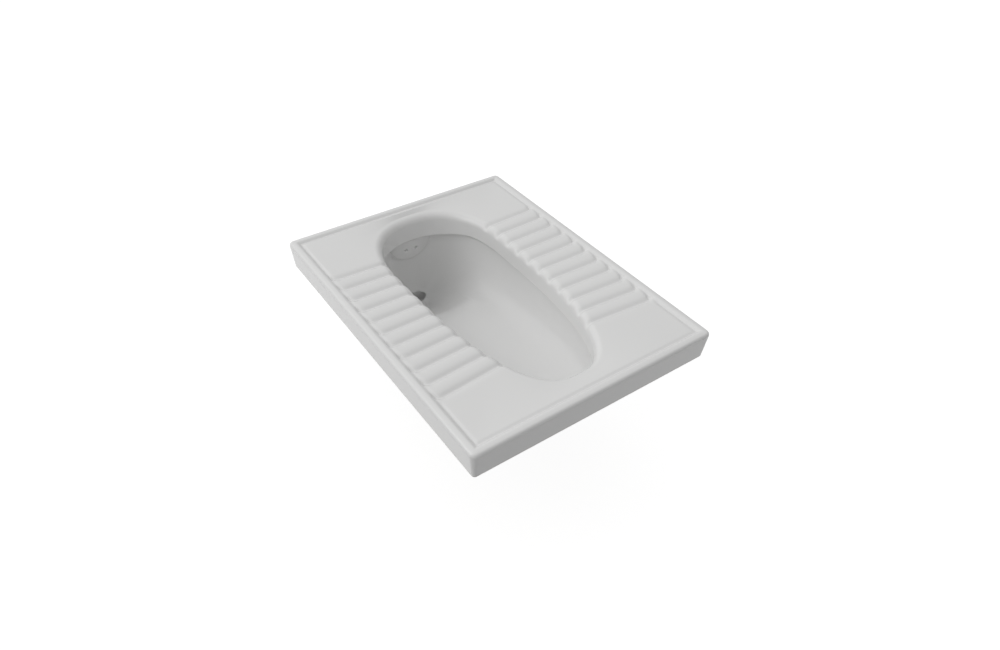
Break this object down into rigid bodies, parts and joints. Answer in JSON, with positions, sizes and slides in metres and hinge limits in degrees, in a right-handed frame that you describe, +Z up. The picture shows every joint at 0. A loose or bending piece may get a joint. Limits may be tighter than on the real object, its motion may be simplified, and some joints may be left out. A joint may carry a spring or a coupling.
{
  "type": "squat toilet",
  "caption": "Glazed squat toilet pan with grooved foot treads, an egg-shaped bowl, a jet cap under the rear lip, a rubber flush connector and a swivelling P-trap with union and cleaning eye.",
  "frame": {"origin": "middle of the slab at the underside of its skirt, which is the finished floor level where the pan is let in", "axes": "+Z up out of the floor, +Y to the rear, where the flush enters and the outlet drops, +X to the right of someone facing the rear"},
  "size_m": [0.445, 0.7198, 0.3584],
  "materials": {
    "glaze": "gloss white glaze",
    "cap_glaze": "gloss white glaze",
    "rubber": "matt black",
    "band_steel": "bright stainless",
    "screw_steel": "bright stainless",
    "trap_plastic": "satin grey",
    "nut_plastic": "satin grey",
    "cap_plastic": "satin orange"
  },
  "bodies": {
    "pan_body": {"pan": "glaze", "flush_spreader": "cap_glaze", "spreader_seal": "rubber", "flush_cone": "rubber", "horn_clamp_band": "band_steel", "horn_clamp_housing": "band_steel", "pipe_clamp_band": "band_steel", "pipe_clamp_housing": "band_steel", "outlet_seal": "rubber"},
    "horn_screw": {"horn_clamp_screw": "screw_steel"},
    "pipe_screw": {"pipe_clamp_screw": "screw_steel"},
    "trap": {"trap_bend": "trap_plastic"},
    "arm": {"trap_arm": "trap_plastic"},
    "union_washer": {"union_seal": "rubber"},
    "union_ring": {"union_nut": "nut_plastic"},
    "eye_washer": {"cleanout_seal": "rubber"},
    "eye_cap": {"cleanout_cap": "cap_plastic"}
  },
  "joints": [
    {"name": "horn_screw_turn", "type": "hinge", "parent": "pan_body", "child": "horn_screw", "pos_m": [0.03715, 0.31, -0.034], "axis": [0, 0, 1], "continuous": true},
    {"name": "pipe_screw_turn", "type": "hinge", "parent": "pan_body", "child": "pipe_screw", "pos_m": [0.0296, 0.35, -0.034], "axis": [0, 0, 1], "continuous": true},
    {"name": "trap_swivel", "type": "hinge", "parent": "pan_body", "child": "trap", "pos_m": [0, 0.22, -0.19], "axis": [0, 0, 1], "range_deg": [-90, 90]},
    {"name": "arm_swivel", "type": "hinge", "parent": "trap", "child": "arm", "pos_m": [0, 0.3378, -0.18], "axis": [0, 0, 1], "range_deg": [-60, 60]},
    {"name": "union_lift", "type": "slide", "parent": "trap", "child": "union_washer", "axis": [0, 0, 1], "range_m": [0, 0.008]},
    {"name": "union_turn", "type": "hinge", "parent": "union_washer", "child": "union_ring", "pos_m": [0, 0.3378, -0.18], "axis": [0, 0, 1], "range_deg": [0, 720]},
    {"name": "eye_cap_travel", "type": "slide", "parent": "trap", "child": "eye_washer", "axis": [1, 0, 0], "range_m": [0, 0.012]},
    {"name": "eye_cap_turn", "type": "hinge", "parent": "eye_washer", "child": "eye_cap", "pos_m": [0.063, 0.2789, -0.2634], "axis": [1, 0, 0], "range_deg": [0, 1080]}
  ],
  "couplings": [
    {"joint": "union_lift", "follows": "union_turn", "m_per_rad": 0.00063662},
    {"joint": "eye_cap_travel", "follows": "eye_cap_turn", "m_per_rad": 0.00063662}
  ]
}
